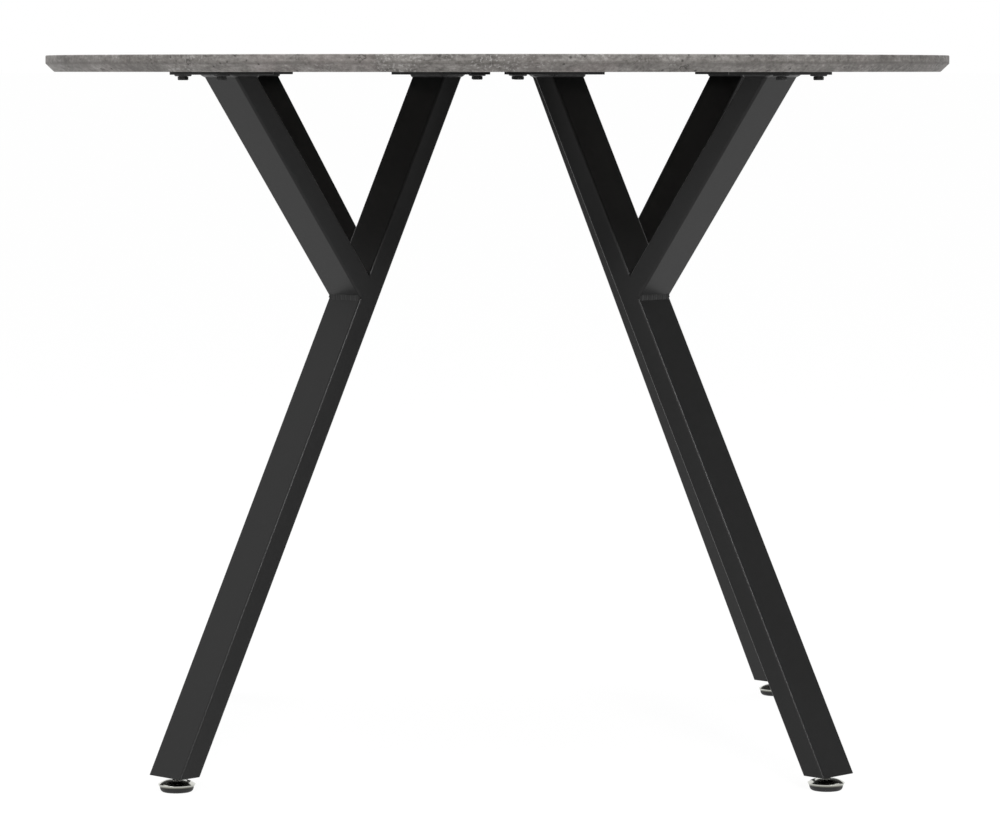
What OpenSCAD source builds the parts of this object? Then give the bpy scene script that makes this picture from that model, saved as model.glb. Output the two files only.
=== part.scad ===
// Round dining table: one board on four splayed Y-shaped legs of flat steel
// tube, each leg on a screwed levelling foot. Millimetres, +Z up, origin on the
// floor under the middle of the board. The front is towards -Y.

/* [Table top] */
// Diameter of the round board
top_d = 1000; // [980:10:1200]
// Height of the board's upper face above the floor
top_h = 768; // [720:1:790]
// Thickness of the board
top_t = 18; // [16:1:25]
// Height of the slope under the board's edge
bevel_h = 9; // [4:0.5:12]
// How far the slope runs in under the board
bevel_in = 9.5; // [4:0.5:14]
// Radius of the softened upper edge
arris_r = 1.2; // [0.5:0.1:2]

/* [Leg tubes] */
// Width of the flat tube, across its leg
tube_w = 50; // [40:1:60]
// Thickness of the flat tube, in the plane of its leg
tube_t = 25; // [20:1:26]
// Wall of the tube
tube_wall = 2; // [1.5:0.1:2.5]
// Radius of the tube's outer corners
tube_corner_r = 2.5; // [1:0.5:4]
// Smallest radius of the tube's inner corners
corner_in_min = 0.25; // [0.2:0.05:0.5]
// Distance from the table's axis to where the post's outer face would meet the floor
post_foot_r = 507; // [450:1:520]
// Distance from the axis to the post's outer face at its top plate
post_top_r = 108; // [105:1:130]
// Height of the post's cut lower end
post_end_z = 16.5; // [15:0.5:24]
// Height of the fork, where the branch's outer face meets the post
fork_z = 508; // [460:1:560]
// Distance from the axis to the branch's outer face at its top plate
branch_top_r = 417; // [400:1:430]
// Leg of each weld bead's triangle
weld_leg = 4; // [2:0.5:5]

/* [Plates and fasteners] */
// Length of a top plate, away from the axis
plate_len = 78; // [74:1:84]
// Width of a top plate
plate_w = 80; // [76:1:84]
// Thickness of a top plate
plate_t = 3; // [3:0.5:5]
// Corner radius of a top plate
plate_corner_r = 4; // [1:0.5:8]
// How far a post's plate runs on outwards past its tube
post_heel = 20; // [16:1:22]
// How far a branch's plate runs on inwards past its tube
branch_heel = 12; // [8:1:16]
// Distance between the two bolts of a plate
bolt_pitch = 60; // [54:1:60]
// Distance from the bolts to the plate's end
bolt_inset = 12; // [11:0.5:14]
// Diameter of a bolt's shank
bolt_d = 6; // [5:1:8]
// Length of a bolt under its head
bolt_l = 16; // [14:1:18]
// Width of a bolt's hexagonal head across its flats
head_af = 10; // [9:0.5:13]
// Height of a bolt's head
head_h = 4; // [3:0.1:6]
// Diameter of a washer
washer_d = 18; // [16:0.5:20]
// Thickness of a washer
washer_t = 1.6; // [1:0.1:2]
// Diameter of a threaded insert in the board
insert_d = 10; // [10:0.5:12]
// Length of a threaded insert
insert_l = 13; // [10:0.5:13]
// How far the hole for an insert is drilled past it
insert_room = 1; // [0.5:0.5:2]

/* [Levelling feet] */
// Diameter of a foot at its widest
foot_d = 39; // [35:1:44]
// Diameter of a foot just above its rounded sole
sole_d = 34; // [30:0.5:35]
// Radius of the round between the sole and the foot's side
sole_round = 3; // [1:0.5:3.5]
// Height of the foot's plastic base up to its plated cap
base_h = 5.5; // [4:0.5:6]
// How far the cap's rim stands out past the base
rim_step = 0.3; // [0.1:0.1:0.6]
// Height of the rim around the plated cap
cap_band_h = 2.5; // [1.5:0.1:3]
// Rise of the cap's dome above its rim
cap_rise = 5; // [4:0.5:6]
// Wall of the plated cap
cap_wall = 1; // [0.6:0.1:1.2]
// Diameter of the foot's threaded stem
stem_d = 8; // [6:0.5:8]
// Rise of the stem's thread in one turn
thread_pitch = 1.25; // [1:0.25:1.5]
// Diameter of the stem's disc, held under the cap
disc_d = 12; // [11:0.5:14]
// Thickness of the stem's disc
disc_t = 2.5; // [2:0.25:3]
// Height of the steel plug in the post's end
plug_h = 12; // [10:0.5:12]
// Angle on the cap's ellipse at which its dome leaves the rim
dome_from = 50; // [30:1:60]
// How far the foot can be screwed down
foot_travel = 8; // [4:0.5:8]
// Height of thread left in the plug when it is screwed right down
thread_left = 6; // [4:0.5:7]

/* [Fits] */
// Gap around a bolt in its plate and washer
bolt_gap = 0.3; // [0.1:0.1:0.5]
// Gap around a bolt in its insert, an insert in the board and a plug in its tube
fit_gap = 0.05; // [0.02:0.01:0.1]
// Gap around the stem in its plug, and around its disc in the foot
run_gap = 0.06; // [0.02:0.01:0.1]
// Play of the disc under the cap
disc_play = 0.3; // [0.2:0.1:0.5]
// Gap around the stem where it comes through the cap
cap_gap = 0.4; // [0.2:0.1:0.8]

/* [Hidden] */
$fn = 96;
LEGS = [["front_left", -135], ["front_right", -45], ["rear_left", 135], ["rear_right", 45]];
PIECES = ["post", "branch", "post_plate", "branch_plate", "welds", "bolts", "washers",
          "inserts", "plug", "foot_stem", "foot_base", "foot_cap"];

top_r = top_d / 2;
board_z = top_h - top_t;
plate_z = board_z - plate_t;
corner_in_r = max(tube_corner_r - tube_wall, corner_in_min);

// Slants from upright: a post leans in as it rises, a branch leans out
post_slant = atan((post_foot_r - post_top_r) / plate_z);
fork_r = post_foot_r - fork_z * tan(post_slant);
branch_slant = atan((branch_top_r - fork_r) / (plate_z - fork_z));
fork_len = tube_t / sin(post_slant + branch_slant);

// Ways along the faces in the plane of a leg, measured from level and outwards
post_down = post_slant - 90;
post_up = post_slant + 90;
branch_down = -branch_slant - 90;
branch_up = 90 - branch_slant;

// The tubes' level thickness, and the plates and bolts that it places
post_level_t = tube_t / cos(post_slant);
branch_level_t = tube_t / cos(branch_slant);
post_plate_r = post_top_r + post_heel - plate_len / 2;
branch_plate_r = branch_top_r - branch_level_t - branch_heel + plate_len / 2;
post_bolt_r = post_plate_r - plate_len / 2 + bolt_inset;
branch_bolt_r = branch_plate_r + plate_len / 2 - bolt_inset;
BOLT_R = [post_bolt_r, branch_bolt_r];

// The foot stands under the middle of the post's end plug
plug_mid_z = post_end_z + plug_h / 2;
foot_r = post_foot_r - plug_mid_z * tan(post_slant) - post_level_t / 2;
cap_z = base_h + cap_band_h;
rim_low_r = (sole_d + (foot_d - sole_d) * (base_h - sole_round) / (cap_z - sole_round)) / 2;
neck_r = stem_d / 2 + cap_gap;
core_neck_r = disc_d / 2 + run_gap;
core_top_z = cap_z + cap_rise - cap_wall;
disc_z = core_top_z - disc_play - disc_t;
stem_top_z = post_end_z + foot_travel + thread_left;
thread_depth = 0.6 * thread_pitch;
reach = top_h * 2;

function arc(cx, cz, rx, rz, a0, a1, n) =
    [for (i = [0 : n]) let (a = a0 + (a1 - a0) * i / n) [cx + rx * cos(a), cz + rz * sin(a)]];

// A dome's outline from its rim, r1 and z0, up to its neck at r0: the upper
// part of an ellipse
function dome(r0, r1, z0, rise) =
    let (rz = rise / (1 - sin(dome_from)))
    arc(r0, z0 + rise - rz, (r1 - r0) / cos(dome_from), rz, dome_from, 90, 10);

module rounded_rect(x, y, r) {
    square([x - 2 * r, y], center = true);
    square([x, y - 2 * r], center = true);
    for (i = [-1, 1], j = [-1, 1]) translate([i * (x / 2 - r), j * (y / 2 - r)]) circle(r = r);
}

// A slab of space between two heights
module between(z0, z1) {
    translate([-reach, -reach, z0]) cube([2 * reach, 2 * reach, z1 - z0]);
}

// Places children on the table's axis, turned to one leg
module leg_frame(azimuth) {
    rotate([0, 0, azimuth]) children();
}

// Space beside the outer face of a tube: x = 0 is the face, z runs up the tube
module post_frame() {
    translate([post_foot_r, 0, 0]) rotate([0, -post_slant, 0]) children();
}
module branch_frame() {
    translate([fork_r, 0, fork_z]) rotate([0, branch_slant, 0]) children();
}

module tube_bar(inset, r) {
    translate([-tube_t / 2, 0, -reach]) linear_extrude(2 * reach)
        rounded_rect(tube_t - 2 * inset, tube_w - 2 * inset, r);
}
module hollow_tube() {
    difference() {
        tube_bar(0, tube_corner_r);
        tube_bar(tube_wall, corner_in_r);
    }
}

// Places children at every bolt of a leg, two to a plate
module at_bolts() {
    for (r = BOLT_R, side = [-1, 1]) translate([r, side * bolt_pitch / 2, 0]) children();
}

// A ring or bore upwards from a height
module ring(outer_d, inner_d, h) {
    linear_extrude(h) difference() {
        circle(d = outer_d);
        circle(d = inner_d);
    }
}

module tabletop() {
    color([0.62, 0.6, 0.58]) difference() {
        rotate_extrude() polygon(concat(
            [[0, top_h], [0, board_z], [top_r - bevel_in, board_z], [top_r, board_z + bevel_h]],
            arc(top_r - arris_r, top_h - arris_r, arris_r, arris_r, 0, 90, 6)));
        for (leg = LEGS) leg_frame(leg[1]) at_bolts() translate([0, 0, board_z - insert_room])
            cylinder(d = insert_d + 2 * fit_gap, h = insert_l + 2 * insert_room);
    }
}

module post() {
    color([0.24, 0.24, 0.25]) intersection() {
        post_frame() hollow_tube();
        between(post_end_z, plate_z);
    }
}

// The branch ends flat against the post's outer face
module branch() {
    color([0.24, 0.24, 0.25]) difference() {
        intersection() {
            branch_frame() hollow_tube();
            between(0, plate_z);
        }
        post_frame() translate([-reach, -tube_w, 0]) cube([reach, 2 * tube_w, reach]);
    }
}

module top_plate(centre_r, bolt_r) {
    color([0.2, 0.2, 0.21]) translate([0, 0, plate_z]) linear_extrude(plate_t) difference() {
        translate([centre_r, 0]) rounded_rect(plate_len, plate_w, plate_corner_r);
        for (side = [-1, 1]) translate([bolt_r, side * bolt_pitch / 2])
            circle(d = bolt_d + 2 * bolt_gap);
    }
}
module post_plate() {
    top_plate(post_plate_r, post_bolt_r);
}
module branch_plate() {
    top_plate(branch_plate_r, branch_bolt_r);
}

// A straight bead across the leg in the corner between two faces, which run
// from the corner the ways a and b
module cross_bead(r, z, a, b) {
    translate([r, 0, z]) rotate([90, 0, 0])
        linear_extrude(tube_w - 2 * tube_corner_r, center = true) polygon([
            [0, 0],
            [weld_leg * cos(a), weld_leg * sin(a)],
            [weld_leg * cos(b), weld_leg * sin(b)]]);
}

// Beads along a tube's two sides, under its plate
module side_beads(outer_r, level_t, lean) {
    run = level_t - 2 * tube_corner_r - weld_leg * abs(lean);
    start_r = outer_r - level_t + tube_corner_r + max(weld_leg * lean, 0);
    for (side = [0, 1]) mirror([0, side, 0]) translate([start_r, tube_w / 2, plate_z])
        rotate([90, 0, 90]) linear_extrude(run)
            polygon([[0, 0], [0, -weld_leg], [weld_leg, 0]]);
}

module welds() {
    color([0.2, 0.2, 0.21]) {
        cross_bead(fork_r, fork_z, branch_up, post_down);
        cross_bead(fork_r - fork_len * sin(post_slant), fork_z + fork_len * cos(post_slant),
                   branch_up, post_up);
        cross_bead(post_top_r, plate_z, 0, post_down);
        cross_bead(post_top_r - post_level_t, plate_z, 180, post_down);
        cross_bead(branch_top_r, plate_z, 0, branch_down);
        cross_bead(branch_top_r - branch_level_t, plate_z, 180, branch_down);
        side_beads(post_top_r, post_level_t, tan(post_slant));
        side_beads(branch_top_r, branch_level_t, -tan(branch_slant));
    }
}

module bolts() {
    color([0.17, 0.17, 0.18]) at_bolts() translate([0, 0, plate_z - washer_t]) {
        cylinder(d = bolt_d, h = bolt_l);
        translate([0, 0, -head_h]) cylinder(d = head_af / cos(30), h = head_h, $fn = 6);
    }
}

module washers() {
    color([0.26, 0.26, 0.27]) at_bolts() translate([0, 0, plate_z - washer_t])
        ring(washer_d, bolt_d + 2 * bolt_gap, washer_t);
}

module inserts() {
    color([0.72, 0.68, 0.5]) at_bolts() translate([0, 0, board_z])
        ring(insert_d, bolt_d + 2 * fit_gap, insert_l);
}

// Steel plug welded into the post's end, tapped for the foot
module plug() {
    color([0.3, 0.3, 0.31]) difference() {
        intersection() {
            post_frame() tube_bar(tube_wall + fit_gap, corner_in_r);
            between(post_end_z, post_end_z + plug_h);
        }
        translate([foot_r, 0, 0]) cylinder(d = stem_d + 2 * run_gap, h = reach);
    }
}

// Threaded stem with a disc at its lower end, which turns in the foot
module foot_stem() {
    color([0.75, 0.75, 0.77]) translate([foot_r, 0, disc_z]) {
        cylinder(d = disc_d, h = disc_t);
        cylinder(d = stem_d, h = stem_top_z - disc_z - thread_depth);
        translate([0, 0, stem_top_z - disc_z - thread_depth])
            cylinder(d1 = stem_d, d2 = stem_d - 2 * thread_depth, h = thread_depth);
    }
}

// Plastic base, with a domed core under the cap and a pocket for the disc in it
module foot_base() {
    color([0.09, 0.09, 0.09]) translate([foot_r, 0, 0]) rotate_extrude() polygon(concat(
        [[0, 0]],
        arc(sole_d / 2 - sole_round, sole_round, sole_round, sole_round, -90, 0, 8),
        [[rim_low_r - rim_step, base_h], [rim_low_r - cap_wall, base_h]],
        dome(core_neck_r, foot_d / 2 - cap_wall, cap_z, cap_rise - cap_wall),
        [[core_neck_r, disc_z - run_gap], [0, disc_z - run_gap]]));
}

// Plated steel cap: a leaning rim around the base and a dome up to the stem
module foot_cap() {
    inner = dome(core_neck_r, foot_d / 2 - cap_wall, cap_z, cap_rise - cap_wall);
    color([0.86, 0.87, 0.88]) translate([foot_r, 0, 0]) rotate_extrude() polygon(concat(
        [[rim_low_r - cap_wall, base_h], [rim_low_r, base_h]],
        dome(neck_r, foot_d / 2, cap_z, cap_rise),
        [[neck_r, core_top_z]],
        [for (i = [len(inner) - 1 : -1 : 0]) inner[i]]));
}

tabletop();
for (leg = LEGS) leg_frame(leg[1]) {
    post();
    branch();
    post_plate();
    branch_plate();
    welds();
    bolts();
    washers();
    inserts();
    plug();
    foot_stem();
    foot_base();
    foot_cap();
}
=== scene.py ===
# %% [markdown]
# A round dining table stands on four Y-shaped legs of flat steel tube. The
# engineering model gives every part's true size and place, so this lesson
# starts from it and only decides how things look: the concrete-effect board,
# the powder coat, the weld beads, the bolts and the little chromed feet.
# Lengths are in metres, with Z up and the front of the table towards -Y.

# %% Load the frame
from math import atan, cos, pi, radians, sin, tan
import random
import bpy
import bmesh
from mathutils import Matrix, Vector


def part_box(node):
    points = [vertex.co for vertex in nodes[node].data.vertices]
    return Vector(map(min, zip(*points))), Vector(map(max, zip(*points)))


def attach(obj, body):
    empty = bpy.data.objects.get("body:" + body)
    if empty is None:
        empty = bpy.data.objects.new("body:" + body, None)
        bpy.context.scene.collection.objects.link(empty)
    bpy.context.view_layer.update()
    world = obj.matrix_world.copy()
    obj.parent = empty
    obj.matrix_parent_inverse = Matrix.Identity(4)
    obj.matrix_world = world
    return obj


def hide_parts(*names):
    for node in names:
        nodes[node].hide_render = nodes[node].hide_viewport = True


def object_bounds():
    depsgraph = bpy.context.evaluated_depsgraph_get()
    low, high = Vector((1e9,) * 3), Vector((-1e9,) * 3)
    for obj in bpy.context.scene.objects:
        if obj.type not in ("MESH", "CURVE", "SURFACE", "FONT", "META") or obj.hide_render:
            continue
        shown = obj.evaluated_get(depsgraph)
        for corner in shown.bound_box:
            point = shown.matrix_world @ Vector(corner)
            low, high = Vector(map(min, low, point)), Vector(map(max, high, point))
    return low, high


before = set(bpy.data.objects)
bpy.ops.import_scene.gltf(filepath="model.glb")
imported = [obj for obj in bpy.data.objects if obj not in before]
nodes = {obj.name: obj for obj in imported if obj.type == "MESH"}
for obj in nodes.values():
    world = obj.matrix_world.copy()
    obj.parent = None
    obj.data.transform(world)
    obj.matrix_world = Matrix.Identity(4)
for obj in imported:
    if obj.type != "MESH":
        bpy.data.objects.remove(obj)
cad_box = [list(corner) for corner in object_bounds()]
table_low, table_high = (Vector(corner) for corner in cad_box)
print("table box", [[round(v, 4) for v in corner] for corner in cad_box])

# %% [markdown]
# The camera comes first, because everything is judged through it. A long lens
# from nearly five metres keeps the uprights almost parallel, and the eye is
# just below the board's upper face, so only its edge shows. The camera stands
# slightly to the left, looks a little to the right and tilts down instead of
# shifting its lens.

# %% Camera
STAND_OFF = 4.732
EYE_HEIGHT = table_high.z - 0.016
EYE_LEFT = 0.0638
TURN_RIGHT = radians(0.807)
TILT_DOWN = radians(4.70)

camera_data = bpy.data.cameras.new("camera")
camera_data.sensor_width = 36.0
camera_data.lens = 152.6
camera = bpy.data.objects.new("camera", camera_data)
bpy.context.scene.collection.objects.link(camera)
camera.location = (-EYE_LEFT, -STAND_OFF, EYE_HEIGHT)
look = Vector((sin(TURN_RIGHT) * cos(TILT_DOWN), cos(TURN_RIGHT) * cos(TILT_DOWN), -sin(TILT_DOWN)))
camera.rotation_euler = look.to_track_quat("-Z", "Y").to_euler()
bpy.context.scene.camera = camera
bpy.context.scene.view_settings.view_transform = "Standard"
print("camera at", tuple(round(v, 3) for v in camera.location))

# %% [markdown]
# Every material here is a small node graph. Writing one link at a time hides
# the idea, so a helper lets us write shader maths as plain Python: `Value`
# wraps an output socket and `+ - * /` add Math nodes, while `Finish.add` makes
# any other node from its type, its settings and what goes into its sockets.

# %% Shader helper
class Value:
    """An output socket. Arithmetic on it adds Math nodes to its material."""

    def __init__(self, finish, socket):
        self.finish, self.socket = finish, socket

    def math(self, operation, *terms):
        return self.finish.add("ShaderNodeMath", {"operation": operation},
                               {i: term for i, term in enumerate(terms)})

    def __add__(self, other):
        return self.math("ADD", self, other)

    def __radd__(self, other):
        return self.math("ADD", other, self)

    def __sub__(self, other):
        return self.math("SUBTRACT", self, other)

    def __rsub__(self, other):
        return self.math("SUBTRACT", other, self)

    def __mul__(self, other):
        return self.math("MULTIPLY", self, other)

    def __rmul__(self, other):
        return self.math("MULTIPLY", other, self)

    def __abs__(self):
        return self.math("ABSOLUTE", self)

    def between(self, low, high):
        """0 at low, 1 at high, smooth and clamped in between."""
        return self.finish.add("ShaderNodeMapRange", {"interpolation_type": "SMOOTHSTEP"},
                               {"Value": self, "From Min": low, "From Max": high})


class Finish:
    """A material being built, with its Principled shader at hand."""

    def __init__(self, name):
        self.material = bpy.data.materials.new(name)
        self.material.use_nodes = True
        self.tree = self.material.node_tree
        self.shader = self.tree.nodes["Principled BSDF"]
        self.place = self.add("ShaderNodeTexCoord", output="Object")

    def add(self, kind, settings=None, inputs=None, output=0):
        node = self.tree.nodes.new(kind)
        for key, setting in (settings or {}).items():
            if key == "stops":
                self.set_stops(node.color_ramp, setting)
            else:
                setattr(node, key, setting)
        for key, source in (inputs or {}).items():
            self.plug(source, node.inputs[key])
        return Value(self, node.outputs[output])

    def plug(self, source, socket):
        if isinstance(source, Value):
            self.tree.links.new(source.socket, socket)
        else:
            socket.default_value = source

    def set_stops(self, ramp, stops):
        while len(ramp.elements) < len(stops):
            ramp.elements.new(1.0)
        for element, (position, colour) in zip(ramp.elements, stops):
            element.position, element.color = position, (*colour, 1.0)

    def stretched(self, scale, turn=(0.0, 0.0, 0.0)):
        """The object's coordinates, scaled and turned for one pattern."""
        return self.add("ShaderNodeMapping", {},
                        {"Vector": self.place, "Scale": scale, "Rotation": turn})

    def noise(self, scale, detail=3.0, roughness=0.5, place=None, distortion=0.0):
        return self.add("ShaderNodeTexNoise", {}, {
            "Vector": place or self.place, "Scale": scale, "Detail": detail,
            "Roughness": roughness, "Distortion": distortion}, output="Fac")

    def cells(self, scale, place=None):
        """The distance from the middle of a Voronoi cell, and a random number for the cell."""
        inputs = {"Vector": place or self.place, "Scale": scale}
        distance = self.add("ShaderNodeTexVoronoi", {}, inputs, output="Distance")
        colour = self.add("ShaderNodeTexVoronoi", {}, inputs, output="Color")
        return distance, self.add("ShaderNodeSeparateColor", {}, {"Color": colour})

    def mix(self, factor, first, second, blend="MIX"):
        """Two colours mixed; factor is a Value or a number."""
        return self.add("ShaderNodeMix", {"data_type": "RGBA", "blend_type": blend},
                        {"Factor": factor, 6: first, 7: second}, output=2)

    def bump(self, height, strength, distance):
        return self.add("ShaderNodeBump", {}, {
            "Height": height, "Strength": strength, "Distance": distance})

    def surface(self, **inputs):
        """Sets the shader's own sockets; base_color becomes Base Color."""
        for key, source in inputs.items():
            name = key.replace("_", " ").title().replace("Ior", "IOR")
            self.plug(source, self.shader.inputs[name])
        print("finish", self.material.name, len(self.tree.nodes), "nodes")
        return self.material


def grey(level, warmth=0.0):
    """A grey in linear light from an sRGB level of 0 to 255, a little warm or cool."""
    def linear(c):
        c = c / 255
        return c / 12.92 if c <= 0.04045 else ((c + 0.055) / 1.055) ** 2.4
    return (linear(level + warmth), linear(level), linear(level - warmth))


# %% [markdown]
# The board is sold as concrete but is a light core under a printed and lightly
# embossed face. Poured concrete reads as several things at once: clouds a hand
# wide, mottling the size of a fingertip, flakes and a sandy grain, all a little
# longer than high, as a trowel leaves them. Each is one noise with its own
# scale, and a colour ramp turns their sum into greys. In some patches pale
# crumbs stand out of the cement.

# %% Concrete-effect finish
def cement(f):
    """The greys of the concrete, and the mottling and grain that made them."""
    level = f.stretched((1, 1, 1.9))
    clouds = f.noise(5.5, detail=4, roughness=0.55, distortion=0.5,
                     place=f.stretched((1, 1, 1), (0, 0, 2.1)))
    mottling = f.noise(46, detail=5, roughness=0.62, place=level)
    flakes = f.noise(175, detail=3, roughness=0.6, place=level)
    grain = f.noise(430, detail=3, roughness=0.7)
    tone = clouds * 0.34 + mottling * 0.56 + flakes * 0.46 + grain * 0.3 - 0.33
    base = f.add("ShaderNodeValToRGB", {"stops": [
        (0.28, grey(65, 3.2)), (0.4, grey(94, 3.2)), (0.5, grey(115, 3.2)),
        (0.6, grey(134, 3.2)), (0.74, grey(165, 3.2))]}, {"Fac": tone})
    patch = f.noise(11, detail=3, place=level).between(0.53, 0.6)
    crumbs = f.noise(330, detail=2, roughness=0.5).between(0.56, 0.64)
    base = f.mix(crumbs * patch * 0.55, base, (*grey(164, 2), 1.0))
    return base, mottling, grain


# %% [markdown]
# Over the cement lie the accidents: long dark smears, a blush of brown, dark
# pinholes, and hair-thin rings where bubbles dried. A ring is the set of points
# at one distance from the middle of a Voronoi cell, in the few cells that a
# random number picks, and a noise pushes the points about so that it isn't a
# drawn circle. Along the ridge where the edge turns under, a darker line is
# painted in as shade.

# %% Accidents in the concrete, and painted shade on the ridge
def concrete_effect(ridge_z):
    f = Finish("concrete_effect")
    base, mottling, grain = cement(f)
    smears = f.noise(8, detail=4, roughness=0.6, place=f.stretched((1, 1, 12))).between(0.52, 0.7)
    base = f.mix(smears * 0.5, base, (*grey(86, 3), 1.0))
    blush = f.noise(13, detail=2, place=f.stretched((1, 1, 1), (0.3, 0.8, 0.1))).between(0.5, 0.66)
    base = f.mix(blush * 0.22, base, (0.262, 0.222, 0.216, 1.0))

    push = f.add("ShaderNodeTexNoise", {}, {
        "Vector": f.place, "Scale": 90.0, "Detail": 4.0}, output="Color")
    pushed = f.add("ShaderNodeVectorMath", {"operation": "MULTIPLY_ADD"}, {
        0: push, 1: (0.02, 0.02, 0.02), 2: f.place})
    bubble, picked = f.cells(52, pushed)
    broken = f.noise(110, detail=2).between(0.4, 0.5)
    rings = (1 - abs(bubble - 0.22).between(0.014, 0.055)) * picked.between(0.5, 0.54) * broken
    base = f.mix(rings * 0.7, base, (*grey(52, 3), 1.0))

    spot, picked = f.cells(150)
    pinholes = (1 - spot.between(0.12, 0.28)) * picked.between(0.84, 0.88)
    base = f.mix(pinholes * 0.8, base, (*grey(56, 2), 1.0))

    height = f.add("ShaderNodeSeparateXYZ", {}, {"Vector": f.place}, output="Z")
    # Painted shade: a darker line along the crease where the upright edge turns into the slope.
    painted_ridge_shade = 1 - abs(height - (ridge_z + 0.0004)).between(0.0005, 0.0026)
    base = f.mix(painted_ridge_shade * (mottling * 0.9 - 0.05), base, (*grey(78, 4), 1.0))

    relief = mottling * 0.3 + grain * 0.6 - pinholes * 0.8 - rings * 0.3
    return f.surface(
        base_color=base, roughness=0.5 + mottling * 0.18 + pinholes * 0.2,
        specular_ior_level=0.3, normal=f.bump(relief, 0.3, 0.0006))


# %% [markdown]
# Powder coat is plastic baked onto steel: satin, nearly black, and never quite
# flat. Close up it shows orange peel, a soft ripple about a millimetre wide.
# The ripple goes into the bump, and a slow drift of the roughness keeps the
# long tubes from looking drawn with a ruler. The feet's caps are plated. Below
# the shoulder, down to the rim's lower lip, shade is painted into their colour
# and the finish is made duller.

# %% Powder coat, bolt, foot and thread finishes
def powder_coat():
    f = Finish("powder_coat")
    drift = f.noise(9, detail=2)
    speckle = f.noise(1500, detail=2, roughness=0.6)
    base = f.mix(drift * 0.6 + speckle * 0.4, (*grey(24, 0.3), 1.0), (*grey(30, -0.2), 1.0))
    peel = f.noise(820, detail=2, roughness=0.45)
    return f.surface(base_color=base, roughness=0.24 + drift * 0.08 + speckle * 0.04,
                     specular_ior_level=0.215, normal=f.bump(peel, 0.14, 0.0003))


def black_oxide():
    f = Finish("black_oxide")
    wear = f.noise(700, detail=4, roughness=0.6)
    tool_marks = f.noise(260, detail=2, place=f.stretched((1, 1, 9)))
    base = f.mix(wear.between(0.5, 0.75) * 0.5, (*grey(44), 1.0), (*grey(84, 1), 1.0))
    return f.surface(base_color=base, metallic=0.55, roughness=0.36 + wear * 0.16,
                     normal=f.bump(tool_marks + wear * 0.5, 0.12, 0.0002))


def moulded_black():
    f = Finish("moulded_black")
    spark = f.noise(2400, detail=3, roughness=0.6)
    drift = f.noise(60, detail=2)
    base = f.mix(drift, (*grey(24), 1.0), (*grey(31), 1.0))
    return f.surface(base_color=base, roughness=0.5 + spark * 0.14,
                     specular_ior_level=0.4, normal=f.bump(spark, 0.2, 0.0001))


def polished_plate(lip_z, shoulder_z):
    f = Finish("polished_plate")
    haze = f.noise(380, detail=3)
    height = f.add("ShaderNodeSeparateXYZ", {}, {"Vector": f.place}, output="Z")
    # Painted shade: the colour darkens from the shoulder down to the rim's lower lip, and the roughness
    # rises there too.
    painted_shade_low = 1 - height.between(lip_z + 0.0003, shoulder_z + 0.0002)
    base = f.mix(haze, (0.56, 0.565, 0.52, 1.0), (0.64, 0.645, 0.6, 1.0))
    base = f.mix(painted_shade_low * 0.9, base, (0.1, 0.1, 0.078, 1.0))
    return f.surface(base_color=base, metallic=1.0, roughness=0.09 + haze * 0.08 + painted_shade_low * 0.12,
                     normal=f.bump(f.noise(90, detail=1), 0.03, 0.0002))


def zinc_plate():
    f = Finish("zinc_plate")
    bloom = f.noise(420, detail=5, roughness=0.65)
    base = f.mix(bloom, (*grey(176, -1), 1.0), (*grey(204, 2), 1.0))
    return f.surface(base_color=base, metallic=1.0, roughness=0.24 + bloom * 0.18,
                     normal=f.bump(bloom, 0.08, 0.0001))


board_points = [v.co for v in nodes["tabletop"].data.vertices]
ridge_z = min(p.z for p in board_points if p.xy.length > table_high.x - 1e-4)
cap_low, cap_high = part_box("front_right_foot_cap")
cap_vertices = nodes["front_right_foot_cap"].data.vertices
shoulder_z = min(v.co.z for v in cap_vertices if v.co.x > cap_high.x - 1e-5)
concrete = concrete_effect(ridge_z)
coat = powder_coat()
oxide = black_oxide()
moulded = moulded_black()
chrome = polished_plate(cap_low.z, shoulder_z)
zinc = zinc_plate()

# %% [markdown]
# Each finished piece goes through one door. It merges stray doubles, turns the
# faces outwards, shades curved runs smooth while keeping true corners crisp,
# hangs the piece on the moving body that carries it and hides the engineering
# node it stands for. The same door serves all four legs.

# %% Finishing a piece
def finish_piece(name, bm, body, material, stands_for, crisp=32):
    bmesh.ops.remove_doubles(bm, verts=bm.verts, dist=1e-6)
    bmesh.ops.recalc_face_normals(bm, faces=bm.faces)
    mesh = bpy.data.meshes.new(name)
    bm.to_mesh(mesh)
    bm.free()
    mesh.shade_smooth()
    mesh.set_sharp_from_angle(angle=radians(crisp))
    mesh.materials.append(material)
    piece = bpy.data.objects.new(name, mesh)
    bpy.context.scene.collection.objects.link(piece)
    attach(piece, body)
    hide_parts(stands_for)
    return piece


def turned(bm, outline, steps, place=Vector((0, 0, 0)), ring=False):
    """Spins an outline of (radius, height) corners round an upright axis at `place`.

    A ring's outline closes on itself; any other starts and ends on the axis.
    """
    corners = [bm.verts.new(place + Vector((r, 0, z))) for r, z in outline]
    pairs = list(zip(corners, corners[1:]))
    if ring:
        pairs.append((corners[-1], corners[0]))
    edges = [bm.edges.new(pair) for pair in pairs]
    bmesh.ops.spin(bm, geom=corners + edges, cent=place, axis=(0, 0, 1),
                   angle=2 * pi, steps=steps, use_merge=True)


def ellipse_arc(cx, cz, rx, rz, start, end, steps):
    """Points on a stretch of an ellipse, for the rounds in an outline."""
    angles = [radians(start + (end - start) * i / steps) for i in range(steps + 1)]
    return [(cx + rx * cos(a), cz + rz * sin(a)) for a in angles]


# %% [markdown]
# The board is a disc whose edge is upright above and sloped below. Its
# proportions are measured on the engineering mesh: how far the underside stops
# short of the edge, and how high the slope climbs. Machined edges are never
# knife sharp, so the outline gets a small round at the top arris and smaller
# ones where the slope starts and ends. One spin of that outline makes the
# whole board, with no seam to hide.

# %% Board
ARRIS = 0.0012
EASE = 0.0007
PLAIN_R = 0.25

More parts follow.
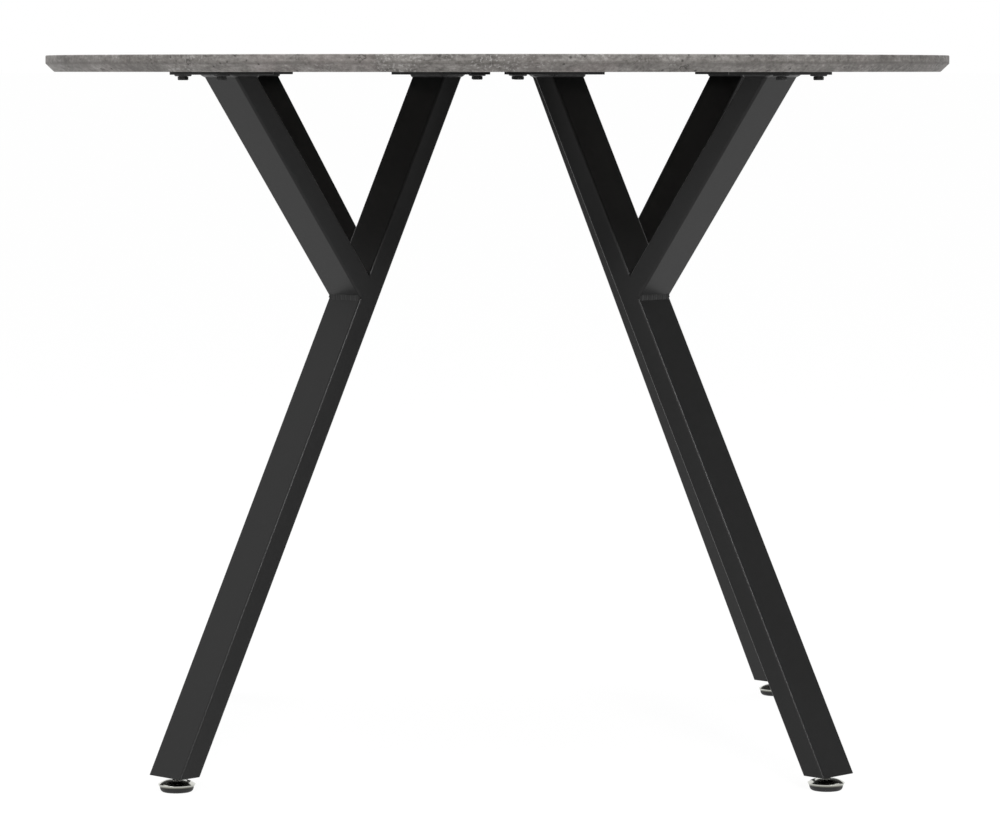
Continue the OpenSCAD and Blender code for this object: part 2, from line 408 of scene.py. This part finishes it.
board_low, board_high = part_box("tabletop")
board_r = board_high.x
under_r = max(p.xy.length for p in board_points if p.z < board_low.z + 1e-5)
slope = (Vector((board_r, ridge_z)) - Vector((under_r, board_low.z))).normalized() * EASE

outline = [(0, board_high.z), (PLAIN_R, board_high.z), (board_r - 0.02, board_high.z)]
outline += ellipse_arc(board_r - ARRIS, board_high.z - ARRIS, ARRIS, ARRIS, 90, 0, 6)
outline += [(board_r, ridge_z + EASE), (board_r - EASE * 0.1, ridge_z + EASE * 0.2),
            (board_r - slope.x, ridge_z - slope.y)]
outline += [(under_r + slope.x, board_low.z + slope.y), (under_r, board_low.z + EASE * 0.12),
            (under_r - EASE, board_low.z)]
outline += [(board_r - 0.04, board_low.z), (PLAIN_R, board_low.z), (0, board_low.z)]
board = bmesh.new()
turned(board, outline, steps=360)
board_piece = finish_piece("board", board, "table", concrete, "tabletop")
print("board", round(2 * board_r, 3), "m across,", len(board_piece.data.polygons), "faces")

# %% [markdown]
# The CAD tubes and plates have the right shape but their cut edges are razor
# sharp, and a sharp edge catches no light. Instead of drawing them again we
# copy each mesh, merge its loose triangles, dissolve the flat ones into whole
# faces and bevel only the edges that turn sharply. On a tube that is the lower
# cut, because its other ends vanish into welds. The wide faces must stay flat
# beside their small corner rounds, so normals are weighted by face area.

# %% Tubes and plates with eased edges
def eased(name, node, width, highest):
    """A copy of a node, with its sharp edges below a height bevelled."""
    bm = bmesh.new()
    bm.from_mesh(nodes[node].data)
    bmesh.ops.remove_doubles(bm, verts=bm.verts, dist=1e-6)
    bmesh.ops.dissolve_limit(bm, angle_limit=radians(1), verts=bm.verts, edges=bm.edges)
    sharp = [e for e in bm.edges if len(e.link_faces) == 2 and e.calc_face_angle() > radians(40)
             and max(v.co.z for v in e.verts) < highest]
    if sharp:
        bmesh.ops.bevel(bm, geom=sharp, offset=width, affect="EDGES", segments=2, profile=0.5,
                        material=-1, clamp_overlap=True)
    bmesh.ops.triangulate(bm, faces=[f for f in bm.faces if len(f.verts) > 4])
    piece = finish_piece(name, bm, "table", coat, node)
    weighted = piece.modifiers.new("flat faces", "WEIGHTED_NORMAL")
    weighted.keep_sharp = True
    return piece


EDGE = 0.0004
LEGS = {"front_left": radians(-135), "front_right": radians(-45),
        "rear_left": radians(135), "rear_right": radians(45)}

low_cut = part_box("front_right_post")[0].z + 0.001
eased_below = {"post": low_cut, "branch": 0.0, "post_plate": table_high.z, "branch_plate": table_high.z}
for leg in LEGS:
    for part, highest in eased_below.items():
        piece = eased(f"{leg}_{part}_coated", f"{leg}_{part}", EDGE, highest)
        print(piece.name, len(piece.data.polygons), "faces")

# %% [markdown]
# Everything else is placed from the frame. The leg that points front right is
# measured as if it stood along +X: how far out each tube's faces are at its
# ends, which way it leans, where the bolts stand and how big the foot is. All
# four legs are the same, so one set of numbers serves them all.

# %% Measure the leg
def in_leg_frame(node):
    turn = Matrix.Rotation(-LEGS["front_right"], 3, "Z")
    return [turn @ v.co for v in nodes[node].data.vertices]


def reach_at(points, height):
    """The nearest and farthest distance from the axis at one height."""
    level = [p.x for p in points if abs(p.z - height) < 1e-5]
    return min(level), max(level)


def middles(values):
    """The middles of two groups of values, and half the width of a group."""
    values = sorted(values)
    gaps = [b - a for a, b in zip(values, values[1:])]
    split = gaps.index(max(gaps)) + 1
    near, far = values[:split], values[split:]
    return ((near[0] + near[-1]) / 2, (far[0] + far[-1]) / 2), (near[-1] - near[0]) / 2


post_points = in_leg_frame("front_right_post")
branch_points = in_leg_frame("front_right_branch")
post_low = min(p.z for p in post_points)
plate_z = max(p.z for p in post_points)
fork_z = min(p.z for p in branch_points)
half_w = max(p.y for p in post_points)
post_low_out = reach_at(post_points, post_low)[1]
post_top_in, post_top_out = reach_at(post_points, plate_z)
branch_top_in, branch_top_out = reach_at(branch_points, plate_z)
post_slant = atan((post_low_out - post_top_out) / (plate_z - post_low))
fork_r = post_low_out - (fork_z - post_low) * tan(post_slant)
branch_slant = atan((branch_top_out - fork_r) / (plate_z - fork_z))
post_down = Vector((sin(post_slant), 0, -cos(post_slant)))
branch_up = Vector((sin(branch_slant), 0, cos(branch_slant)))
corner_r = half_w - max(p.y for p in post_points if p.x > post_low_out - 1e-5)

# The bolts stand through the washers, so the washers' middles place both.
washer_points = in_leg_frame("front_right_washers")
bolt_rs, washer_r = middles([p.x for p in washer_points])
bolt_ys, _ = middles([p.y for p in washer_points])
washer_z = min(p.z for p in washer_points)
head_z = min(p.z for p in in_leg_frame("front_right_bolts"))
foot_r = (cap_low + cap_high).xy.length / 2
print("fork at", round(fork_r, 4), round(fork_z, 4))
print("slants", round(post_slant, 3), round(branch_slant, 3))
print("bolts at", [round(r, 4) for r in bolt_rs], "foot at", round(foot_r, 4))

# %% [markdown]
# A weld bead is a row of small overlapping puddles. It fills the corner
# between two faces, and each puddle froze as a slightly higher ripple, bowed
# along the seam. So a bead is a sweep: at every step along the seam a short
# arc spans the corner, and its size swells and shrinks with the ripple. Round
# the top of a tube the seam closes on itself; at the fork it is straight, with
# a fuller puddle at each end where the welder stopped, and then thins out.
# Under the coat the ripples are soft. The bridge_loops operator guesses which
# points of two rings belong together, and on rings of a few millimetres, or on
# two in one plane, it can guess wrong. So a small helper joins ring to ring.

# %% Weld beads
WELD = 0.004
ROOT = 0.0004
FILLED = 0.86
INSET = 0.0012
RIPPLE = 0.0013
RIPPLE_STEPS = 5
PUDDLE_STEPS = 14
ARC_STEPS = 6


def skin(bm, rings, closed=False):
    """Joins rings of points into one body: a loop, or a bar with both ends capped."""
    rows = [[bm.verts.new(p) for p in ring] for ring in rings]
    pairs = list(zip(rows, rows[1:]))
    if closed:
        pairs.append((rows[-1], rows[0]))
    else:
        bm.faces.new(rows[0])
        bm.faces.new(rows[-1])
    for near, far in pairs:
        for i, corner in enumerate(near):
            bm.faces.new((near[i - 1], corner, far[i], far[i - 1]))


def bead(bm, seam, chance, closed=False):
    """A rippled bead along a seam of (corner, first face, second face) steps."""
    total = len(seam) - 1
    rings = []
    start = chance.random()
    swells = [(turns, chance.uniform(0, 2 * pi)) for turns in (3, 7, 13)]
    for i, (corner, first, second) in enumerate(seam):
        wobble = 1 + sum(0.03 * sin(2 * pi * turns * i / total + phase) for turns, phase in swells)
        end = 1.0
        if not closed:
            from_end = min(i, total - i)
            puddle = sin(pi * min(from_end, PUDDLE_STEPS) / PUDDLE_STEPS)
            end = min(1.0, 0.4 + 0.1 * from_end) + 0.08 * puddle
        ring = [corner - (first + second) * ROOT]
        for k in range(ARC_STEPS + 1):
            share = k / ARC_STEPS
            turn = share * pi / 2
            bow = 0.3 * sin(2 * turn)
            ripple = 1 + 0.003 * sin(2 * pi * (i / RIPPLE_STEPS + bow + start)) * sin(2 * turn)
            arc = first * cos(turn) + second * sin(turn)
            flat = first * (1 - share) + second * share
            ring.append(corner + (arc * 0.4 + flat * 0.6) * WELD * FILLED * wobble * end * ripple)
        rings.append(ring)
    skin(bm, rings, closed)


def fill_in(seam):
    """Adds steps where two neighbours on a seam are far apart."""
    full = []
    for here, there in zip(seam, seam[1:]):
        count = max(1, round((there[0] - here[0]).length * RIPPLE_STEPS / RIPPLE))
        full += [tuple(a.lerp(b, i / count) for a, b in zip(here, there)) for i in range(count)]
    return full + seam[-1:]


def round_the_top(inner, outer, down, slant):
    """The seam round a tube's top end: a level rectangle with rounded corners."""
    long_r = corner_r / cos(slant)
    seam = []
    for sx, sy, begin in ((1, 1, 0), (-1, 1, 90), (-1, -1, 180), (1, -1, 270)):
        middle = Vector(((outer if sx > 0 else inner) - sx * long_r, sy * (half_w - corner_r), plate_z))
        for step in range(7):
            a = radians(begin + 15 * step)
            out = Vector((cos(a), sin(a), 0))
            seam.append((middle + Vector((long_r * cos(a), corner_r * sin(a), 0)), out, down))
    return fill_in(seam + seam[:1])[:-1]


def across(corner, first, second):
    """The seam across a tube's face, stopping a little short of both sides."""
    ends = [(corner + Vector((0, y, 0)), first, second) for y in (INSET - half_w, half_w - INSET)]
    return fill_in(ends)


tube_t = (post_top_out - post_top_in) * cos(post_slant)
fork_corner = Vector((fork_r, 0, fork_z))
crotch = fork_corner - post_down * (tube_t / sin(post_slant + branch_slant))


def ground_flush(bm, side):
    """The weld ground level with the tubes' sides, between the fork and the crotch."""
    inwards = Vector((-cos(post_slant), 0, -sin(post_slant))) * corner_r
    rings = []
    for along in (fork_corner + post_down * 0.001, crotch - post_down * 0.001):
        edge = along + Vector((0, side * half_w, 0))
        down = Vector((0, -side * corner_r, 0))
        rings.append([edge, edge + inwards, edge + inwards + down, edge + down])
    skin(bm, rings)


for number, leg in enumerate(LEGS):
    chance = random.Random(number)
    welds = bmesh.new()
    for seam in (round_the_top(post_top_in, post_top_out, post_down, post_slant),
                 round_the_top(branch_top_in, branch_top_out, -branch_up, branch_slant)):
        bead(welds, seam, chance, closed=True)
    bead(welds, across(fork_corner, branch_up, post_down), chance)
    bead(welds, across(crotch, branch_up, -post_down), chance)
    ground_flush(welds, 1)
    ground_flush(welds, -1)
    welds.transform(Matrix.Rotation(LEGS[leg], 4, "Z"))
    piece = finish_piece(f"{leg}_weld_beads", welds, "table", coat,
                         f"{leg}_welds", crisp=50)
    print(piece.name, len(piece.data.polygons), "faces")

# %% [markdown]
# A hexagon head isn't a plain prism. The bar it is made from is chamfered by a
# cone, which cuts the six corners in curves and leaves a round face. With the
# head's radius written as a function of the angle, the cone needs one line:
# the further out a point is, the sooner it is cut. No two bolts are tightened
# to the same angle, so each gets its own.

# %% Bolts
ACROSS_FLATS = 0.010
SHANK_R = 0.003
SHANK_LENGTH = 0.016
CONE = tan(radians(30))


def hexagon_bolt(bm, place, turn):
    angles = [2 * pi * i / 48 for i in range(48)]
    flat_r = ACROSS_FLATS / 2
    radii = [flat_r / cos((a + pi / 6) % (pi / 3) - pi / 6) for a in angles]
    bearing_r, face_r = flat_r * 0.95, flat_r * 0.96
    top, bottom = washer_z, head_z

    def ring(size, height):
        return [place + Vector((size(r) * cos(a + turn), size(r) * sin(a + turn), height(r)))
                for r, a in zip(radii, angles)]

    skin(bm, [
        ring(lambda r: SHANK_R, lambda r: top + SHANK_LENGTH),
        ring(lambda r: SHANK_R, lambda r: top + 0.0002),
        ring(lambda r: bearing_r, lambda r: top + 0.0001),
        ring(lambda r: bearing_r, lambda r: top - 0.0003),
        ring(lambda r: r * 0.985, lambda r: top - 0.0003),
        ring(lambda r: r, lambda r: top - 0.0005),
        ring(lambda r: r, lambda r: bottom + (r - face_r) * CONE + 0.0002),
        ring(lambda r: r - 0.00015, lambda r: bottom + (r - face_r) * CONE),
        ring(lambda r: face_r, lambda r: bottom),
        ring(lambda r: face_r - 0.0006, lambda r: bottom),
        ring(lambda r: face_r - 0.0009, lambda r: bottom + 0.0001)])


for number, leg in enumerate(LEGS):
    chance = random.Random(10 + number)
    bolts = bmesh.new()
    for r in bolt_rs:
        for y in bolt_ys:
            hexagon_bolt(bolts, Vector((r, y, 0)), chance.uniform(0, pi / 3))
    bolts.transform(Matrix.Rotation(LEGS[leg], 4, "Z"))
    piece = finish_piece(f"{leg}_hex_bolts", bolts, "table", oxide,
                         f"{leg}_bolts", crisp=28)
    print(piece.name, len(piece.data.polygons), "faces")

# %% [markdown]
# The washers are stamped. The punch leaves the rim rounded on one side, and
# they are slightly dished, so the side towards the bolt is narrower.

# %% Washers
PUNCHED = 0.0016

for leg in LEGS:
    washers = bmesh.new()
    top, bend = plate_z, plate_z - 0.0005
    section = [(SHANK_R + 0.0003, top), (washer_r - 0.0002, top), (washer_r, top - 0.0002),
               (washer_r, bend)]
    section += ellipse_arc(washer_r - PUNCHED, bend, PUNCHED, bend - washer_z, 0, -80, 6)
    section += [(SHANK_R + 0.0006, washer_z), (SHANK_R + 0.0003, washer_z + 0.0003)]
    for r in bolt_rs:
        for y in bolt_ys:
            turned(washers, section, steps=48, place=Vector((r, y, 0)), ring=True)
    washers.transform(Matrix.Rotation(LEGS[leg], 4, "Z"))
    piece = finish_piece(f"{leg}_stamped_washers", washers, "table", oxide,
                         f"{leg}_washers")
    print(piece.name, len(piece.data.polygons), "faces")

# %% [markdown]
# A levelling foot has three parts. The moulded base is a shallow black cup with
# a rounded sole, recessed underneath so that it stands on a ring. On top it has
# a pocket for the stem's disc. The plated cap is pressed from thin sheet: a
# leaning rim and a dome that ends in a small turned-up collar at the stem. Both
# are outlines spun round the foot's own axis, and their main points are read
# from the engineering model: each list below holds (radius, height) pairs.

# %% Measure the foot
def around_the_foot(node):
    """A piece's points as their distance from the foot's axis, and their height."""
    return [(Vector((p.x - foot_r, p.y)).length, p.z) for p in in_leg_frame(node)]


foot_at = Vector((foot_r, 0, 0))
cap_points = around_the_foot("front_right_foot_cap")
base_points = around_the_foot("front_right_foot_base")
rim_r = max(r for r, z in cap_points)
rim_z = min(z for r, z in cap_points)
dome_z = max(z for r, z in cap_points)
rim_low_r = max(r for r, z in cap_points if z < rim_z + 1e-5)
neck_r = min(r for r, z in cap_points)
sole_flat_r = max(r for r, z in base_points if z < 1e-5)
below_rim = [(r, z) for r, z in base_points if z < rim_z - 1e-4]
sole_r = max(r for r, z in below_rim)
side_z = min(z for r, z in below_rim if r > sole_r - 1e-6)
core_z = max(z for r, z in base_points)
pocket_r = min(r for r, z in base_points if z > core_z - 1e-5)
pocket_z = min(z for r, z in base_points if abs(r - pocket_r) < 1e-5)
print("foot", round(2000 * rim_r, 2), "mm wide, dome at", round(1000 * dome_z, 2), "mm")

# %% [markdown]
# The dome is the upper part of an ellipse. Pressed sheet has no sharp edges, so
# the rim's lower lip, its shoulder and the collar are all rounded a little.

# %% Foot bases and caps
SHEET = 0.0008
LIP = 0.0002
RECESS = 0.0009
DOME_FROM = 50


def dome(neck, edge, low, high, steps):
    """A dome's outline from its edge at `low` to its neck at `high`."""
    tall = (high - low) / (1 - sin(radians(DOME_FROM)))
    wide = (edge - neck) / cos(radians(DOME_FROM))
    return ellipse_arc(neck, high - tall, wide, tall, DOME_FROM, 90, steps)


for leg in LEGS:
    turn = Matrix.Rotation(LEGS[leg], 4, "Z")
    base = bmesh.new()
    section = [(0, RECESS), (sole_flat_r - 5 * RECESS, RECESS),
               (sole_flat_r - 4 * RECESS, RECESS * 0.7), (sole_flat_r - 3.5 * RECESS, 0.0)]
    section += ellipse_arc(sole_flat_r, side_z, sole_r - sole_flat_r, side_z, -90, 0, 8)
    section += [(rim_low_r - 2 * LIP, rim_z - LIP / 2), (rim_low_r - SHEET - 2 * LIP, rim_z + LIP / 2)]
    section += dome(pocket_r, rim_r - SHEET - LIP, shoulder_z, core_z, 12)
    section += [(pocket_r, pocket_z), (0, pocket_z)]
    turned(base, section, steps=96, place=foot_at)
    base.transform(turn)
    finish_piece(f"{leg}_moulded_base", base, f"{leg}_foot", moulded,
                 f"{leg}_foot_base")

    cap = bmesh.new()
    section = [(rim_low_r - SHEET, rim_z), (rim_low_r - LIP, rim_z), (rim_low_r, rim_z + LIP)]
    section += [(rim_r - LIP / 2, shoulder_z - 1.5 * LIP), (rim_r, shoulder_z),
                (rim_r - LIP, shoulder_z + LIP)]
    section += dome(neck_r + 4 * LIP, rim_r - 2 * LIP, shoulder_z + 1.5 * LIP, dome_z - 2 * LIP, 20)
    section += [(neck_r + 2 * LIP, dome_z - LIP), (neck_r + LIP, dome_z),
                (neck_r, dome_z - LIP), (neck_r, dome_z - SHEET)]
    section += dome(pocket_r, rim_r - SHEET - LIP, shoulder_z, core_z, 12)[::-1]
    turned(cap, section, steps=96, place=foot_at, ring=True)
    cap.transform(turn)
    piece = finish_piece(f"{leg}_plated_cap", cap, f"{leg}_foot", chrome,
                         f"{leg}_foot_cap")
    print(piece.name, len(piece.data.polygons), "faces")

# %% [markdown]
# The stem's thread is a true helix. A V-shaped profile one pitch tall is spun
# upwards: every step turns a little and climbs a little, so that after a full
# turn the profile's foot meets the previous turn's head and the two are merged.
# Both ends are cut level, and a smooth disc below holds the stem in its foot.

# %% Threaded stems
PITCH = 0.00125
THREAD_R = 0.004
THREAD_DEPTH = 0.00075
THREAD_STEPS = 24
stem_low, stem_high = (corner.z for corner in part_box("front_right_foot_stem"))
DISC_R, DISC_T, DISC_EASE = 0.006, 0.0025, 0.0003
disc_high = stem_low + DISC_T


def threaded(bm, low, high):
    turns = round((high - low) / PITCH) + 3
    section = [(THREAD_R - THREAD_DEPTH, 0.0), (THREAD_R, 0.44 * PITCH), (THREAD_R, 0.56 * PITCH),
               (THREAD_R - THREAD_DEPTH, PITCH)]
    corners = [bm.verts.new((r, 0, low - PITCH + z)) for r, z in section]
    edges = [bm.edges.new(pair) for pair in zip(corners, corners[1:])]
    steps = turns * THREAD_STEPS
    bmesh.ops.spin(bm, geom=corners + edges, cent=(0, 0, 0), axis=(0, 0, 1), angle=2 * pi * turns,
                   dvec=(0, 0, PITCH / THREAD_STEPS), steps=steps, use_merge=False)
    bmesh.ops.remove_doubles(bm, verts=bm.verts, dist=1e-5)
    for height, up in ((low, -1), (high, 1)):
        cut = bmesh.ops.bisect_plane(bm, geom=bm.verts[:] + bm.edges[:] + bm.faces[:],
                                     plane_co=(0, 0, height), plane_no=(0, 0, up), clear_outer=True)
        rim = [e for e in cut["geom_cut"] if isinstance(e, bmesh.types.BMEdge)]
        bmesh.ops.holes_fill(bm, edges=rim)


for leg in LEGS:
    stem = bmesh.new()
    threaded(stem, disc_high, stem_high)
    bmesh.ops.translate(stem, verts=stem.verts, vec=foot_at)
    disc = [(0, disc_high), (DISC_R - DISC_EASE, disc_high), (DISC_R, disc_high - DISC_EASE),
            (DISC_R, stem_low + DISC_EASE), (DISC_R - DISC_EASE, stem_low), (0, stem_low)]
    turned(stem, disc, steps=48, place=foot_at)
    stem.transform(Matrix.Rotation(LEGS[leg], 4, "Z"))
    piece = finish_piece(f"{leg}_threaded_stem", stem, f"{leg}_stem", zinc,
                         f"{leg}_foot_stem", crisp=25)
    print(piece.name, len(piece.data.polygons), "faces")

# %% [markdown]
# Two parts stay exactly as the engineering model has them, because they are
# almost out of sight: the plug in the end of each post and the inserts in the
# board. They only need a finish.

# %% Plugs and inserts
for leg in LEGS:
    for node, material in ((f"{leg}_plug", coat), (f"{leg}_inserts", zinc)):
        nodes[node].data.materials.clear()
        nodes[node].data.materials.append(material)
print("plugs and inserts finished")

# %% [markdown]
# The table stands in a white studio. What the camera sees as white isn't what
# lights the table: for camera rays, and for reflections, the world is exactly
# white, while all other light sees a plainer level. The floor does the same
# with most of its surface and leaves a share to a pale diffuse one, so that a
# soft shadow stays under the feet.

# %% Floor and world
def white_to_the_eye(tree, plain, white_kind, strength, show):
    """Camera, glossy and transmission rays see white; all other light sees `plain`."""
    path = tree.nodes.new("ShaderNodeLightPath")
    seen = path.outputs["Is Camera Ray"]
    for name in ("Is Glossy Ray", "Is Transmission Ray"):
        larger = tree.nodes.new("ShaderNodeMath")
        larger.operation = "MAXIMUM"
        tree.links.new(seen, larger.inputs[0])
        tree.links.new(path.outputs[name], larger.inputs[1])
        seen = larger.outputs[0]
    share = tree.nodes.new("ShaderNodeMath")
    share.operation = "MULTIPLY"
    tree.links.new(seen, share.inputs[0])
    share.inputs[1].default_value = show
    mix = tree.nodes.new("ShaderNodeMixShader")
    tree.links.new(share.outputs[0], mix.inputs[0])
    tree.links.new(plain, mix.inputs[1])
    white = tree.nodes.new(white_kind)
    white.inputs["Color"].default_value = (1, 1, 1, 1)
    white.inputs["Strength"].default_value = strength
    tree.links.new(white.outputs[0], mix.inputs[2])
    return mix.outputs[0]


world = bpy.data.worlds.new("studio")
bpy.context.scene.world = world
world.use_nodes = True
plain = world.node_tree.nodes["Background"]
plain.inputs["Color"].default_value = (1, 1, 1, 1)
plain.inputs["Strength"].default_value = 0.45
world_out = world.node_tree.nodes["World Output"].inputs["Surface"]
world.node_tree.links.new(
    white_to_the_eye(world.node_tree, plain.outputs[0], "ShaderNodeBackground", 1.0, 1.0), world_out)

floor_material = bpy.data.materials.new("studio_floor")
floor_material.use_nodes = True
tree = floor_material.node_tree
tree.nodes.remove(tree.nodes["Principled BSDF"])
pale = tree.nodes.new("ShaderNodeBsdfDiffuse")
pale.inputs["Color"].default_value = (0.86, 0.86, 0.86, 1)
floor_out = tree.nodes["Material Output"].inputs["Surface"]
tree.links.new(white_to_the_eye(tree, pale.outputs[0], "ShaderNodeEmission", 1.06, 0.9), floor_out)


def flat_sheet(name, half_width, material):
    bm = bmesh.new()
    bmesh.ops.create_grid(bm, x_segments=1, y_segments=1, size=half_width)
    mesh = bpy.data.meshes.new(name)
    bm.to_mesh(mesh)
    bm.free()
    mesh.materials.append(material)
    sheet = bpy.data.objects.new(name, mesh)
    bpy.context.scene.collection.objects.link(sheet)
    return sheet


FLOOR_SIZE = 3000
floor = flat_sheet("floor", FLOOR_SIZE, floor_material)
floor.location.z = table_low.z
print("floor at", round(floor.location.z, 4), "and world", world.name)

# %% [markdown]
# The lamps are large and soft. One hangs above, as the main light; one stands
# to the left, so that the left legs are a little lighter than the right ones;
# and a weak one over the camera draws the thin bright lines along the rounded
# corners of the tubes.

# %% Lamps
AIM = Vector((0, 0, 0.4))


def softbox(name, place, size, power):
    light = bpy.data.lights.new(name, "AREA")
    light.shape, light.size, light.energy = "SQUARE", size, power
    lamp = bpy.data.objects.new(name, light)
    bpy.context.scene.collection.objects.link(lamp)
    lamp.location = place
    lamp.rotation_euler = (AIM - lamp.location).to_track_quat("-Z", "Y").to_euler()
    print(name, "at", place, power, "W")


softbox("softbox_above", (0.0, -0.4, 3.4), 3.0, 85)
softbox("softbox_left", (-3.2, -2.8, 1.4), 2.0, 14)
softbox("softbox_front", (0.5, -4.3, 3.2), 0.8, 98)

# %% [markdown]
# A studio also has grey cards, which hang just out of view. This one is on the
# right, above the height of a leg's fork. The camera itself can't see it, but
# the faces that mirror that side see grey instead of white, so the right-hand
# legs turn darker than the left-hand ones.

# %% Grey card
CARD_SIZE = 2.0
card_material = bpy.data.materials.new("grey_card")
card_material.use_nodes = True
card_shader = card_material.node_tree.nodes["Principled BSDF"]
card_shader.inputs["Base Color"].default_value = (0.36, 0.36, 0.36, 1)
card_shader.inputs["Roughness"].default_value = 1.0
card = flat_sheet("grey_card", CARD_SIZE, card_material)
card.location = (3.2, 0.6, 3.0)
card.rotation_euler = (0, radians(90), 0)
card.visible_camera = False
print("grey card at", tuple(round(v, 2) for v in card.location))
